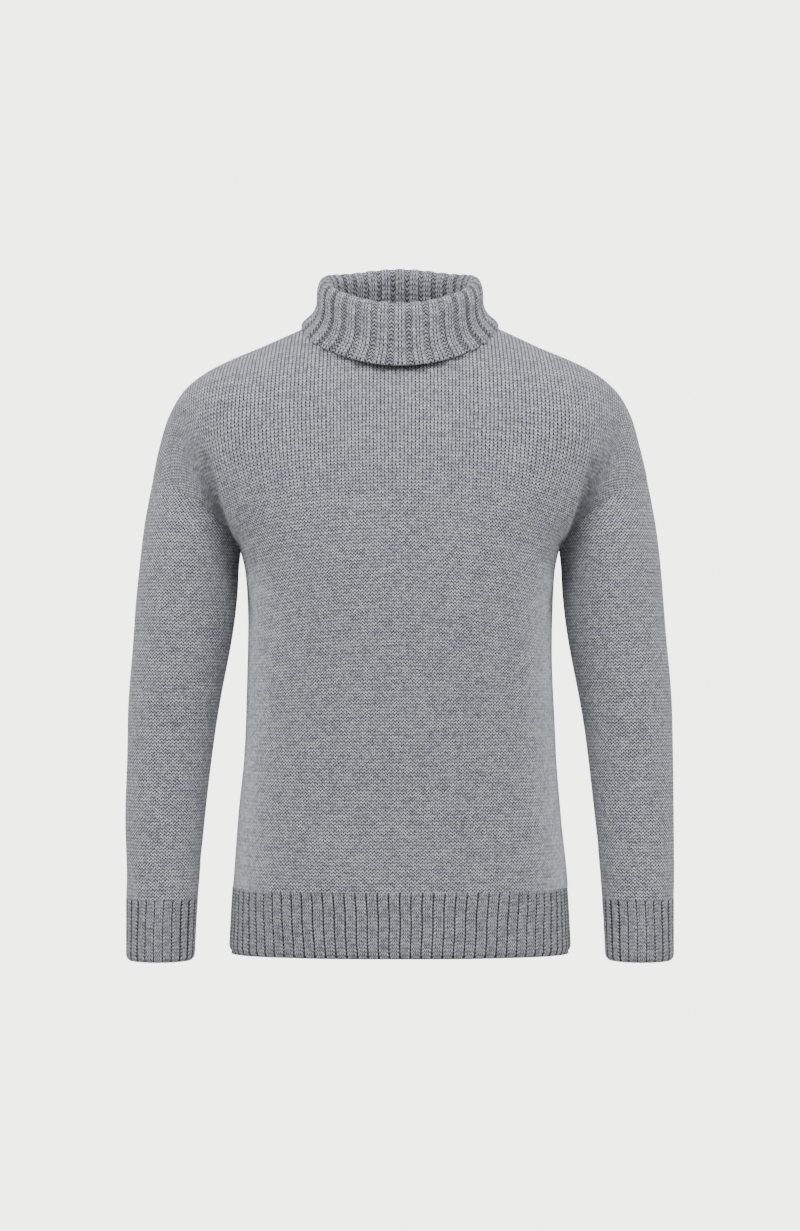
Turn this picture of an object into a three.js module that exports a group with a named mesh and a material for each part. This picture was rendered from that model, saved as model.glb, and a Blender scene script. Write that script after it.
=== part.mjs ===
// Roll-neck sweater with dropped shoulders, kept in the hollow shape that it has when worn.
//
// Millimetres. X runs to the wearer's left, Y to the back and Z up. The side seams, the underarm
// seams and the shoulder seams all lie in the plane Y = 0. Z = 0 is the level where the neck meets
// the shoulders, so the origin is the place where the wearer holds the garment up.
//
// Each cloth piece is first a sheet, which is a grid of points halfway through the cloth. Pieces
// that are sewn together share the points of their seam. Each sheet then gets its wall, and its
// edges draw back from the seams.

import * as THREE from 'three';

// ---------------------------------------------------------------- driving dimensions

const JERSEY_WALL = 3;
const RIB_WALL = 4.4;
const SEAM_GAP = 0.3;

// How far the collar's foot draws back from the neckline, because it stands up from the panels there.
const COLLAR_FOOT_DRAW = 0.35;

const HEM_BOTTOM = -682;
const HEM_TOP = -613;
const UNDERARM = -238;

// How square the body's sections are: 1 is an ellipse, and less is squarer.
const BODY_SQUARENESS = 0.8;

// Body levels: half of the width, and the depth of the front and back from the side seams.
const BODY_LEVELS = [
  { z: HEM_BOTTOM, halfWidth: 186.5, front: 114, back: 103 },
  { z: HEM_TOP, halfWidth: 182.5, front: 116, back: 102 },
  { z: -541, halfWidth: 176.2, front: 119, back: 101 },
  { z: -475, halfWidth: 170.5, front: 122, back: 100 },
  { z: -409, halfWidth: 167.3, front: 126, back: 101 },
  { z: -343, halfWidth: 165.5, front: 130, back: 104 },
  { z: -290, halfWidth: 167, front: 133, back: 107 },
  { z: -262, halfWidth: 169.5, front: 134, back: 109 },
  { z: UNDERARM, halfWidth: 175.5, front: 134, back: 110 },
];

// The oval that the neckline is cut to, seen from above.
const NECK = { halfWidth: 78, halfDepth: 66 };

// Shoulder seam from the neckline to the armhole, over the point of the shoulder.
const SHOULDER_LINE = [
  { x: NECK.halfWidth, z: 12 },
  { x: 112, z: -4 },
  { x: 149, z: -21 },
  { x: 208, z: -47.5 },
  { x: 236, z: -69 },
  { x: 252, z: -96 },
  { x: 262, z: -129 },
  { x: 270, z: -165 },
];

// The two body panels. crest is the height at the middle of the neck, where the panel would meet
// the other one if the neckline were not cut out of it.
const FRONT = { depth: 'front', sign: -1, crest: -8, foldDepth: 17 };
const BACK = { depth: 'back', sign: 1, crest: 34, foldDepth: 9 };

// How full each panel is between the underarm and the shoulder seam: less is fuller.
const FULLNESS = [
  { across: 0, front: 0.88, back: 0.72 },
  { across: 0.27, front: 1.12, back: 0.85 },
  { across: 0.6, front: 0.94, back: 0.85 },
  { across: 1, front: 0.9, back: 0.88 },
];

// Share of a panel's half width that ends at the neckline, where the sleeve's roundness starts, and
// how early a column leans outwards on its way up: less is earlier.
const NECK_SHARE = 0.27;
const ARM_ROUNDING_START = 0.6;
const LEAN_START = 0.7;

// The fold between the chest and the sleeve, from the underarm to where it dies out.
const ARM_FOLD = { across: 0.84, halfWidth: 0.13, start: -0.15, end: 0.62, inward: 0.5 };

// Sleeve rings from the armhole to the cuff, for the wearer's left: where the ring's inner and outer
// ends are, how far back its middle is, its depth, and how far its front and back rise over its plane.
const SLEEVE_RINGS = [
  { along: 0, innerX: 175.5, innerZ: UNDERARM, outerX: 270, outerZ: -165, y: 0, halfDepth: 63, lift: 8 },
  { along: 0.12, innerX: 178.2, innerZ: -263, outerX: 280, outerZ: -217, y: -1, halfDepth: 66, lift: 5 },
  { along: 0.25, innerX: 180, innerZ: -295, outerX: 286, outerZ: -275, y: -2, halfDepth: 66, lift: 2 },
  { along: 0.4, innerX: 186, innerZ: -343, outerX: 291.5, outerZ: -337, y: -4, halfDepth: 63, lift: 0 },
  { along: 0.6, innerX: 202, innerZ: -431, outerX: 297.3, outerZ: -429, y: -9, halfDepth: 57, lift: 0 },
  { along: 0.8, innerX: 214, innerZ: -530, outerX: 298.7, outerZ: -530, y: -17, halfDepth: 51, lift: 0 },
  { along: 1, innerX: 222, innerZ: -627.5, outerX: 297.8, outerZ: -627.5, y: -26, halfDepth: 45, lift: 0 },
  { along: 1.2, innerX: 225.5, innerZ: -695, outerX: 297.5, outerZ: -695, y: -31, halfDepth: 43, lift: 0 },
];
const CUFF_TOP = 1;
const CUFF_BOTTOM = 1.2;

// Collar rings above the neckline: up the stand, over the fold and down the turned-over layer.
// centre is how far a ring's middle lies from the shoulder seams' plane.
const COLLAR_RINGS = [
  { halfWidth: 77, halfDepth: 66, centre: -1, front: -5, side: 26, back: 28 },
  { halfWidth: 75.5, halfDepth: 65, centre: -4, front: 8, side: 38, back: 48 },
  { halfWidth: 76, halfDepth: 66, centre: -6.5, front: 14, side: 45, back: 61 },
  { halfWidth: 79, halfDepth: 69, centre: -7.5, front: 18.5, side: 51, back: 68 },
  { halfWidth: 82.5, halfDepth: 72.5, centre: -8, front: 20, side: 53, back: 70 },
  { halfWidth: 86.5, halfDepth: 76, centre: -8.5, front: 17.5, side: 50, back: 67.5 },
  { halfWidth: 89.3, halfDepth: 79, centre: -9, front: 8, side: 40, back: 58 },
  { halfWidth: 89.8, halfDepth: 81, centre: -9, front: -12, side: 25, back: 38 },
  { halfWidth: 95, halfDepth: 86, centre: -8.5, front: -31, side: 14, back: 18 },
  { halfWidth: 108.5, halfDepth: 89, centre: -8, front: -47, side: 4, back: 2 },
];

// Grid steps.
const BODY_ROWS = 6;
const YOKE_ROWS = 12;
const NECK_COLUMNS = 4;
const SHOULDER_COLUMNS = 8;
const SLEEVE_ROWS = 12;
const RIB_ROWS = 2;
const COLLAR_STEPS_PER_COLUMN = 3;

// Steps of the two searches: along a body section, and up a column for the neckline, which lies
// above this share of the way to the shoulder seam.
const SECTION_STEPS = 400;
const NECK_SEARCH_STEPS = 40;
const NECK_SEARCH_START = 0.3;

const YARN = { color: 0x9a9aa0, roughness: 0.95, metalness: 0 };

// ---------------------------------------------------------------- small helpers

const QUARTER_TURN = Math.PI / 2;

function mix(from, to, share) {
  return from + (to - from) * share;
}

function smoothStep(start, end, value) {
  const t = Math.min(Math.max((value - start) / (end - start), 0), 1);
  return t * t * (3 - 2 * t);
}

function hermite(from, fromSlope, to, toSlope, span, t) {
  const t2 = t * t;
  const t3 = t2 * t;
  return from * (2 * t3 - 3 * t2 + 1) + fromSlope * span * (t3 - 2 * t2 + t)
    + to * (3 * t2 - 2 * t3) + toSlope * span * (t3 - t2);
}

// Reads one column of a table at a place between its rows, along a smooth curve through them.
function read(rows, key, column, at) {
  const last = rows.length - 1;
  let i = 0;
  while (i < last - 1 && at > rows[i + 1][key]) {
    i += 1;
  }
  const slopeAt = (k) => {
    const lower = rows[Math.max(k - 1, 0)];
    const upper = rows[Math.min(k + 1, last)];
    return (upper[column] - lower[column]) / (upper[key] - lower[key]);
  };
  const span = rows[i + 1][key] - rows[i][key];
  const t = (at - rows[i][key]) / span;
  return hermite(rows[i][column], slopeAt(i), rows[i + 1][column], slopeAt(i + 1), span, t);
}

// ---------------------------------------------------------------- body panels

// Angle on a body section that lies a given share of the way from its middle to the side seam,
// measured along the cloth.
const sectionAngle = (() => {
  const { halfWidth, front } = BODY_LEVELS[BODY_LEVELS.length - 1];
  const lengths = [0];
  let before = new THREE.Vector2(0, front);
  for (let i = 1; i <= SECTION_STEPS; i += 1) {
    const angle = QUARTER_TURN * i / SECTION_STEPS;
    const here = new THREE.Vector2(
      halfWidth * Math.sin(angle) ** BODY_SQUARENESS,
      front * Math.max(Math.cos(angle), 0) ** BODY_SQUARENESS,
    );
    lengths.push(lengths[i - 1] + here.distanceTo(before));
    before = here;
  }
  return (across) => {
    const wanted = across * lengths[SECTION_STEPS];
    let i = 1;
    while (i < SECTION_STEPS && lengths[i] < wanted) {
      i += 1;
    }
    const share = (wanted - lengths[i - 1]) / (lengths[i] - lengths[i - 1]);
    return QUARTER_TURN * (i - 1 + share) / SECTION_STEPS;
  };
})();

// A point of a panel below the underarm: across runs from 0 at its middle to 1 at the side seam.
function bodyPoint(panel, across, z) {
  const angle = sectionAngle(across);
  const halfWidth = read(BODY_LEVELS, 'z', 'halfWidth', z);
  const depth = read(BODY_LEVELS, 'z', panel.depth, z);
  return new THREE.Vector3(
    halfWidth * Math.sin(angle) ** BODY_SQUARENESS,
    panel.sign * depth * Math.max(Math.cos(angle), 0) ** BODY_SQUARENESS,
    z,
  );
}

// The shoulder line with its length measured along it.
const SHOULDER = (() => {
  let along = 0;
  return SHOULDER_LINE.map((row, i) => {
    const before = SHOULDER_LINE[Math.max(i - 1, 0)];
    along += Math.hypot(row.x - before.x, row.z - before.z);
    return { along, x: row.x, z: row.z };
  });
})();
const SHOULDER_LENGTH = SHOULDER[SHOULDER.length - 1].along;
const SHOULDER_SLOPE = (SHOULDER[1].z - SHOULDER[0].z) / (SHOULDER[1].x - SHOULDER[0].x);

// The line over which a panel's columns end: the shoulder seam, and inside the neck its crest.
function topPoint(panel, across) {
  if (across < NECK_SHARE) {
    const share = across / NECK_SHARE;
    const z = hermite(panel.crest, 0, SHOULDER[0].z, SHOULDER_SLOPE, NECK.halfWidth, share);
    return new THREE.Vector3(NECK.halfWidth * share, 0, z);
  }
  const along = SHOULDER_LENGTH * (across - NECK_SHARE) / (1 - NECK_SHARE);
  const x = read(SHOULDER, 'along', 'x', along);
  return new THREE.Vector3(x, 0, read(SHOULDER, 'along', 'z', along));
}

// The oval ring between an inner and an outer end. turn is 0 at the inner end, and half a turn at
// the outer one. sign says whether the ring goes round the front or the back.
function ringPoint(inner, outer, { halfDepth, lift }, sign, turn) {
  const point = inner.clone().lerp(outer, (1 - Math.cos(turn)) / 2);
  const slope = Math.atan2(outer.z - inner.z, outer.x - inner.x);
  const rise = lift * Math.sin(turn) ** 2;
  point.x -= rise * Math.sin(slope);
  point.y += sign * halfDepth * Math.sin(turn);
  point.z += rise * Math.cos(slope);
  return point;
}

// A point of a panel above the underarm. rise runs from 0 there to 1 at the shoulder seam.
function yokePoint(panel, across, rise) {
  const foot = bodyPoint(panel, across, UNDERARM);
  const top = topPoint(panel, across);
  const fullness = read(FULLNESS, 'across', panel.depth, across);
  const height = Math.sin(QUARTER_TURN * rise) ** fullness;
  const depth = Math.max(Math.cos(QUARTER_TURN * rise), 0) ** fullness;
  const spread = (1 - Math.cos(Math.PI * height ** LEAN_START)) / 2;
  const arch = new THREE.Vector3(
    mix(foot.x, top.x, spread),
    foot.y * depth,
    mix(foot.z, top.z, height),
  );

  // Towards the armhole the panel rounds into the top of the sleeve.
  const cap = ringPoint(foot, top, SLEEVE_RINGS[0], panel.sign, Math.PI * rise);
  const point = arch.lerp(cap, smoothStep(ARM_ROUNDING_START, 1, across));

  // The fold between the chest and the sleeve.
  const offset = (across - ARM_FOLD.across) / ARM_FOLD.halfWidth;
  const up = (rise - ARM_FOLD.start) / (ARM_FOLD.end - ARM_FOLD.start);
  if (Math.abs(offset) < 1 && up > 0 && up < 1) {
    const sink = panel.foldDepth * Math.cos(QUARTER_TURN * offset) ** 2 * Math.sin(Math.PI * up) ** 2;
    point.y -= panel.sign * sink;
    point.x -= sink * ARM_FOLD.inward;
  }
  return point;
}

// How far up a column of the panel goes before it meets the neckline.
function neckRise(panel, across) {
  let low = NECK_SEARCH_START;
  let high = 1;
  for (let i = 0; i < NECK_SEARCH_STEPS; i += 1) {
    const middle = (low + high) / 2;
    const point = yokePoint(panel, across, middle);
    if (Math.hypot(point.x / NECK.halfWidth, point.y / NECK.halfDepth) > 1) {
      low = middle;
    } else {
      high = middle;
    }
  }
  return low;
}

// Places of the columns from the middle of a panel to its edge.
function columnPlaces() {
  const places = [];
  for (let i = 0; i < NECK_COLUMNS; i += 1) {
    places.push(NECK_SHARE * Math.sin(QUARTER_TURN * i / NECK_COLUMNS));
  }
  for (let i = 0; i <= SHOULDER_COLUMNS; i += 1) {
    places.push(mix(NECK_SHARE, 1, i / SHOULDER_COLUMNS));
  }
  return places;
}
const COLUMNS = columnPlaces();

// Half of a grid's row, mirrored to the wearer's right and read from there to the left.
function wholeRow(half) {
  const mirrored = half.slice(1).reverse().map((point) => new THREE.Vector3(-point.x, point.y, point.z));
  return [...mirrored, ...half];
}

function panelGrid(panel) {
  const rows = [];
  for (let i = 0; i <= BODY_ROWS; i += 1) {
    const z = mix(HEM_TOP, UNDERARM, i / BODY_ROWS);
    rows.push(wholeRow(COLUMNS.map((across) => bodyPoint(panel, across, z))));
  }
  for (let i = 1; i <= YOKE_ROWS; i += 1) {
    rows.push(wholeRow(COLUMNS.map((across) => {
      const end = across < NECK_SHARE ? neckRise(panel, across) : 1;
      return yokePoint(panel, across, end * i / YOKE_ROWS);
    })));
  }
  return rows;
}

function hemGrid(panel) {
  const rows = [];
  for (let i = 0; i <= RIB_ROWS; i += 1) {
    const z = mix(HEM_BOTTOM, HEM_TOP, i / RIB_ROWS);
    rows.push(wholeRow(COLUMNS.map((across) => bodyPoint(panel, across, z))));
  }
  return rows;
}

// ---------------------------------------------------------------- sleeves and collar

// Rings of the wearer's left sleeve between two places along it, from its inner side round its front.
function sleeveGrid(from, to, rowCount) {
  const rows = [];
  for (let i = 0; i <= rowCount; i += 1) {
    const along = mix(from, to, i / rowCount);
    const ring = {};
    for (const column of Object.keys(SLEEVE_RINGS[0])) {
      ring[column] = read(SLEEVE_RINGS, 'along', column, along);
    }
    const inner = new THREE.Vector3(ring.innerX, ring.y, ring.innerZ);
    const outer = new THREE.Vector3(ring.outerX, ring.y, ring.outerZ);
    const row = [];
    for (let j = 0; j < 2 * YOKE_ROWS; j += 1) {
      row.push(ringPoint(inner, outer, ring, FRONT.sign, Math.PI * j / YOKE_ROWS));
    }
    rows.push(row);
  }
  return rows;
}

// The neckline as one loop, from the middle of the front round the wearer's left.
function necklineLoop(front, back) {
  const middle = COLUMNS.length - 1;
  const loop = [];
  for (let i = 0; i < 4 * NECK_COLUMNS; i += 1) {
    const quarter = Math.floor(i / NECK_COLUMNS);
    const panel = quarter === 0 || quarter === 3 ? front : back;
    const column = [i, 2 * NECK_COLUMNS - i, 2 * NECK_COLUMNS - i, i - 4 * NECK_COLUMNS][quarter];
    loop.push(panel[panel.length - 1][middle + column]);
  }
  return loop;
}

function collarGrid(front, back) {
  const loop = necklineLoop(front, back);
  const foot = [];
  loop.forEach((point, i) => {
    const next = loop[(i + 1) % loop.length];
    for (let j = 0; j < COLLAR_STEPS_PER_COLUMN; j += 1) {
      foot.push(point.clone().lerp(next, j / COLLAR_STEPS_PER_COLUMN));
    }
  });
  const rows = [foot];
  for (const ring of COLLAR_RINGS) {
    rows.push(foot.map((unused, i) => {
      const turn = 2 * Math.PI * i / foot.length;
      const cos = Math.cos(turn);
      const tilt = (ring.front - ring.back) / 2;
      const sag = (ring.front + ring.back) / 2 - ring.side;
      return new THREE.Vector3(
        ring.halfWidth * Math.sin(turn),
        ring.centre - ring.halfDepth * cos,
        ring.side + tilt * cos + sag * cos ** 2,
      );
    }));
  }
  return rows;
}

// ---------------------------------------------------------------- from sheets to cloth

const keyOf = (point) => [point.x, point.y, point.z].map((value) => Math.round(value * 1000)).join();

class Sheet {
  // points is a grid of rows. A ring's rows close on themselves. flipped turns the outer side round.
  // footSteps is how many steps the first row takes to each step of the piece that it is sewn to, and
  // footDraw how far that row draws back from the seam.
  constructor(name, points, { wall, ring = false, flipped = false, footSteps = 1, footDraw = SEAM_GAP / 2 }) {
    this.name = name;
    this.points = points;
    this.wall = wall;
    this.ring = ring;
    this.flipped = flipped;
    this.footSteps = footSteps;
    this.footDraw = footDraw;
    this.height = points.length;
    this.width = points[0].length;
  }

  index(row, column) {
    return row * this.width + column % this.width;
  }

  point(index) {
    return this.points[Math.floor(index / this.width)][index % this.width];
  }

  // Two triangles for each cell of the grid, wound so that their outer side faces out. A panel's
  // two halves are split the mirrored way.
  triangles() {
    const list = [];
    const columns = this.ring ? this.width : this.width - 1;
    for (let row = 0; row < this.height - 1; row += 1) {
      for (let column = 0; column < columns; column += 1) {
        const a = this.index(row, column);
        const b = this.index(row, column + 1);
        const c = this.index(row + 1, column + 1);
        const d = this.index(row + 1, column);
        const pair = !this.ring && column < columns / 2 ? [[a, b, d], [b, c, d]] : [[a, b, c], [a, c, d]];
        list.push(...(this.flipped ? pair.map((triangle) => triangle.reverse()) : pair));
      }
    }
    return list;
  }

  // Closed loops round the edges, each with the sheet on its left as seen from outside.
  borders() {
    const along = (row) => Array.from({ length: this.width }, (unused, i) => this.index(row, i));
    const bottom = along(0);
    const top = along(this.height - 1).reverse();
    const up = (column) => {
      const list = [];
      for (let row = 1; row < this.height - 1; row += 1) {
        list.push(this.index(row, column));
      }
      return list;
    };
    const loops = this.ring
      ? [bottom, top]
      : [[...bottom, ...up(this.width - 1), ...top, ...up(0).reverse()]];
    return this.flipped ? loops.map((loop) => loop.reverse()) : loops;
  }
}

// Outward directions at every point, shared by all the sheets that meet there. Each face counts by
// its angle at the point.
function sharedNormals(sheets) {
  const normals = new Map();
  for (const sheet of sheets) {
    for (const triangle of sheet.triangles()) {
      const corners = triangle.map((index) => sheet.point(index));
      const [first, second, third] = corners;
      const face = second.clone().sub(first).cross(third.clone().sub(first)).normalize();
      corners.forEach((point, i) => {
        const ahead = corners[(i + 1) % 3].clone().sub(point);
        const behind = corners[(i + 2) % 3].clone().sub(point);
        const normal = normals.get(keyOf(point)) ?? new THREE.Vector3();
        normals.set(keyOf(point), normal.addScaledVector(face, ahead.angleTo(behind)));
      });
    }
  }
  for (const normal of normals.values()) {
    normal.normalize();
  }
  for (const sheet of sheets) {
    turnFootNormals(sheet, normals);
  }
  return normals;
}

// Between the points that a sheet's first row shares with its neighbour, the outward directions
// follow from those at the shared points.
function turnFootNormals({ points, footSteps }, normals) {
  const foot = points[0];
  foot.forEach((point, i) => {
    const step = i % footSteps;
    if (step > 0) {
      const before = normals.get(keyOf(foot[i - step]));
      const after = normals.get(keyOf(foot[(i - step + footSteps) % foot.length]));
      normals.set(keyOf(point), before.clone().lerp(after, step / footSteps).normalize());
    }
  });
}

// How far each point moves so that the sheet's edges draw back from their seams.
function seamMoves(sheet, normals) {
  const moves = new Map();
  for (const loop of sheet.borders()) {
    const inward = loop.map((index, i) => {
      const from = sheet.point(index);
      const to = sheet.point(loop[(i + 1) % loop.length]);
      const normal = normals.get(keyOf(from)).clone().add(normals.get(keyOf(to)));
      return normal.cross(to.clone().sub(from)).normalize();
    });
    loop.forEach((index, i) => {
      const before = inward[(i + loop.length - 1) % loop.length];
      const after = inward[i];
      const draw = index < sheet.width ? sheet.footDraw : SEAM_GAP / 2;
      const move = before.clone().add(after);
      moves.set(index, move.multiplyScalar(draw / (1 + before.dot(after))));
    });
  }
  return moves;
}

// One closed body: the outer side, the inner side and a wall round every edge. Two pieces split the
// wall along their seam by the same rule, so that it matches.
function clothMesh(sheet, normals) {
  const moves = seamMoves(sheet, normals);
  const count = sheet.width * sheet.height;
  const positions = new Float32Array(count * 6);
  for (let index = 0; index < count; index += 1) {
    const middle = sheet.point(index);
    const normal = normals.get(keyOf(middle));
    const moved = middle.clone().add(moves.get(index) ?? new THREE.Vector3());
    moved.clone().addScaledVector(normal, sheet.wall / 2).toArray(positions, index * 3);
    moved.clone().addScaledVector(normal, -sheet.wall / 2).toArray(positions, (count + index) * 3);
  }
  const indices = [];
  for (const [a, b, c] of sheet.triangles()) {
    indices.push(a, b, c);
    indices.push(count + a, count + c, count + b);
  }
  for (const loop of sheet.borders()) {
    loop.forEach((index, i) => {
      const next = loop[(i + 1) % loop.length];
      if (keyOf(sheet.point(index)) < keyOf(sheet.point(next))) {
        indices.push(next, index, count + index, next, count + index, count + next);
      } else {
        indices.push(next, index, count + next, index, count + index, count + next);
      }
    });
  }
  const geometry = new THREE.BufferGeometry();
  geometry.setAttribute('position', new THREE.BufferAttribute(positions, 3));
  geometry.setIndex(indices);
  geometry.computeVertexNormals();
  const mesh = new THREE.Mesh(geometry, new THREE.MeshStandardMaterial(YARN));
  mesh.name = sheet.name;
  return mesh;
}

// ---------------------------------------------------------------- the garment

function mirrored(grid) {
  return grid.map((row) => row.map((point) => new THREE.Vector3(-point.x, point.y, point.z)));
}

const bodyFront = panelGrid(FRONT);
const bodyBack = panelGrid(BACK);
const sleeve = sleeveGrid(0, CUFF_TOP, SLEEVE_ROWS);
const cuff = sleeveGrid(CUFF_TOP, CUFF_BOTTOM, RIB_ROWS);

const sheets = [
  new Sheet('body_front', bodyFront, { wall: JERSEY_WALL }),
  new Sheet('body_back', bodyBack, { wall: JERSEY_WALL, flipped: true }),
  new Sheet('hem_rib_front', hemGrid(FRONT), { wall: RIB_WALL }),
  new Sheet('hem_rib_back', hemGrid(BACK), { wall: RIB_WALL, flipped: true }),
  new Sheet('sleeve_left', sleeve, { wall: JERSEY_WALL, ring: true, flipped: true }),
  new Sheet('sleeve_right', mirrored(sleeve), { wall: JERSEY_WALL, ring: true }),
  new Sheet('cuff_left', cuff, { wall: RIB_WALL, ring: true, flipped: true }),
  new Sheet('cuff_right', mirrored(cuff), { wall: RIB_WALL, ring: true }),
  new Sheet('collar', collarGrid(bodyFront, bodyBack), {
    wall: RIB_WALL,
    ring: true,
    footSteps: COLLAR_STEPS_PER_COLUMN,
    footDraw: COLLAR_FOOT_DRAW,
  }),
];

const normals = sharedNormals(sheets);
const group = new THREE.Group();
for (const sheet of sheets) {
  group.add(clothMesh(sheet, normals));
}

export default group;
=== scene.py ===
"""Roll-neck sweater in heavy grey marl knit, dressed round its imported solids.

Sizes of the garment are in millimetres and become metres when a piece is made. X runs to the
wearer's left, Y to the back and Z up. The side, underarm and shoulder seams lie in the plane Y = 0,
and Z = 0 is the level where the neck meets the shoulders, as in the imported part.

Each cloth piece is a grid of points on the garment's surface. Every point knows its place in the
knitting: how many wales (columns of stitches) across, and how many courses (rows of stitches) up.
"""

import logging
import math
from dataclasses import dataclass, field
from enum import Enum

import bmesh
import bpy
import numpy as np
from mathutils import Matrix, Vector


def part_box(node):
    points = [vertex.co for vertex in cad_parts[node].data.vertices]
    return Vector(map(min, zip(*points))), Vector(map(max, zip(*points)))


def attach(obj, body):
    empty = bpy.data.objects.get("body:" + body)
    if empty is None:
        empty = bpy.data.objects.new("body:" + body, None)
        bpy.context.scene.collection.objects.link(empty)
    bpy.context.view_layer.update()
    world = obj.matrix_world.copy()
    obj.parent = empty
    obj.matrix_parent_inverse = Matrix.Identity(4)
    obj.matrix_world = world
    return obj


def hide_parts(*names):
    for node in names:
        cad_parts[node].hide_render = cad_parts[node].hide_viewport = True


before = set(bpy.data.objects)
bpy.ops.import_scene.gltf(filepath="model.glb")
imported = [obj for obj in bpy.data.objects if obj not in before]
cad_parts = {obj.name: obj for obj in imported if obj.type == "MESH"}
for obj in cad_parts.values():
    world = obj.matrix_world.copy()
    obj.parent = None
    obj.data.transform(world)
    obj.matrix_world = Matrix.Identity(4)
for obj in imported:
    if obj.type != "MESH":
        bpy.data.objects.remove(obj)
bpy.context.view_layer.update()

LOG = logging.getLogger("sweater")
MM = 0.001
QUARTER_TURN = math.pi / 2

Numbers = float | np.ndarray
Row = tuple[float, ...] | np.ndarray
Feed = bpy.types.NodeSocket | float | tuple[float, ...]

# ------------------------------------------------------------------ driving sizes, in millimetres


def cad_height(node: str, corner: int) -> float:
    """Height in millimetres of a CAD node's lowest (0) or highest (1) corner."""
    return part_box(node)[corner].z / MM


SEAM_GAP = 0.3
HEM_BOTTOM = cad_height("hem_rib_front", 0) + SEAM_GAP / 2
HEM_TOP = cad_height("hem_rib_front", 1) + SEAM_GAP / 2
UNDERARM = -238.0
NECK_HALF_WIDTH = 78.0
NECK_HALF_DEPTH = 66.0

# The torso's section is an ellipse at 1, and squarer below it.
BODY_SQUARENESS = 0.8

# Across half a panel, 0 is its middle and 1 its side edge. The columns up to NECK_SHARE end at the
# neckline, and those past ARM_ROUNDING_START round over into the armhole. Below 1, SPREAD_POWER
# spreads the columns early on their way up to the shoulder.
NECK_SHARE = 0.27
ARM_ROUNDING_START = 0.6
SPREAD_POWER = 0.7

# Places along a sleeve, whose armhole is at 0.
CUFF_TOP = 1.0
CUFF_BOTTOM = 1.2

# Width and height of a stitch.
WALE = 3.9
COURSE = 3.7

# How wide the knitting is drawn: fully above the first height, not at all below the second, and a
# set amount in the ribs of the hem, the cuffs and the collar.
DRAWN_ABOVE = -60.0
DRAWN_BELOW = -300.0
RIB_DRAW = 0.6
COLLAR_DRAW = 0.8

# The ribs' mean height, where above a lower edge they fade out, and how much flatter they lie at
# the garment's sides.
RIB_MIDDLE = 0.85
EDGE_FADE = (-2.0, 8.0)
SIDE_FADE = 0.35

# Body levels: height, half of the width, and the depth of the front and of the back.
BODY_LEVELS = (
    (-682.0, 186.5, 114.0, 103.0),
    (-613.0, 182.5, 116.0, 102.0),
    (-541.0, 176.2, 119.0, 101.0),
    (-475.0, 170.5, 122.0, 100.0),
    (-409.0, 167.3, 126.0, 101.0),
    (-343.0, 165.5, 130.0, 104.0),
    (-290.0, 167.0, 133.0, 107.0),
    (-262.0, 169.5, 134.0, 109.0),
    (UNDERARM, 175.5, 134.0, 110.0),
)

# Shoulder seam from the neckline to the armhole: x and height.
SHOULDER_LINE = (
    (NECK_HALF_WIDTH, 12.0),
    (112.0, -4.0),
    (149.0, -21.0),
    (208.0, -47.5),
    (236.0, -69.0),
    (252.0, -96.0),
    (262.0, -129.0),
    (270.0, -165.0),
)

# Sleeve rings: place along the sleeve, x and height of the inner end, x and height of the outer end,
# how far back the middle is, depth, and how far the front and back rise over the ring's plane.
SLEEVE_RINGS = (
    (0.0, 175.5, UNDERARM, 270.0, -165.0, 0.0, 63.0, 8.0),
    (0.12, 178.2, -263.0, 280.0, -217.0, -1.0, 66.0, 5.0),
    (0.25, 180.0, -295.0, 286.0, -275.0, -2.0, 66.0, 2.0),
    (0.4, 186.0, -343.0, 291.5, -337.0, -4.0, 63.0, 0.0),
    (0.6, 202.0, -431.0, 297.3, -429.0, -9.0, 57.0, 0.0),
    (0.8, 214.0, -530.0, 298.7, -530.0, -17.0, 51.0, 0.0),
    (CUFF_TOP, 222.0, -623.5, 297.8, -623.5, -26.0, 45.0, 0.0),
    (CUFF_BOTTOM, 225.5, -690.5, 297.5, -690.5, -31.0, 43.0, 0.0),
)

# Collar rings above the neckline: half width, half depth, how far back the middle is, and the
# heights at the front, side and back.
COLLAR_RINGS = (
    (77.0, 66.0, -1.0, -5.0, 26.0, 28.0),
    (75.5, 65.0, -4.0, 8.0, 38.0, 48.0),
    (76.0, 66.0, -6.5, 14.0, 45.0, 61.0),
    (79.0, 69.0, -7.5, 18.5, 51.0, 68.0),
    (82.5, 72.5, -8.0, 20.0, 53.0, 70.0),
    (86.5, 76.0, -8.5, 17.5, 50.0, 67.5),
    (89.3, 79.0, -9.0, 8.0, 40.0, 58.0),
    (89.8, 81.0, -9.0, -12.0, 25.0, 38.0),
    (95.0, 84.4, -7.0, -31.0, 14.0, 18.0),
    (108.5, 86.8, -5.8, -47.0, 4.0, 2.0),
)


# ------------------------------------------------------------------ curves and small helpers


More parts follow.
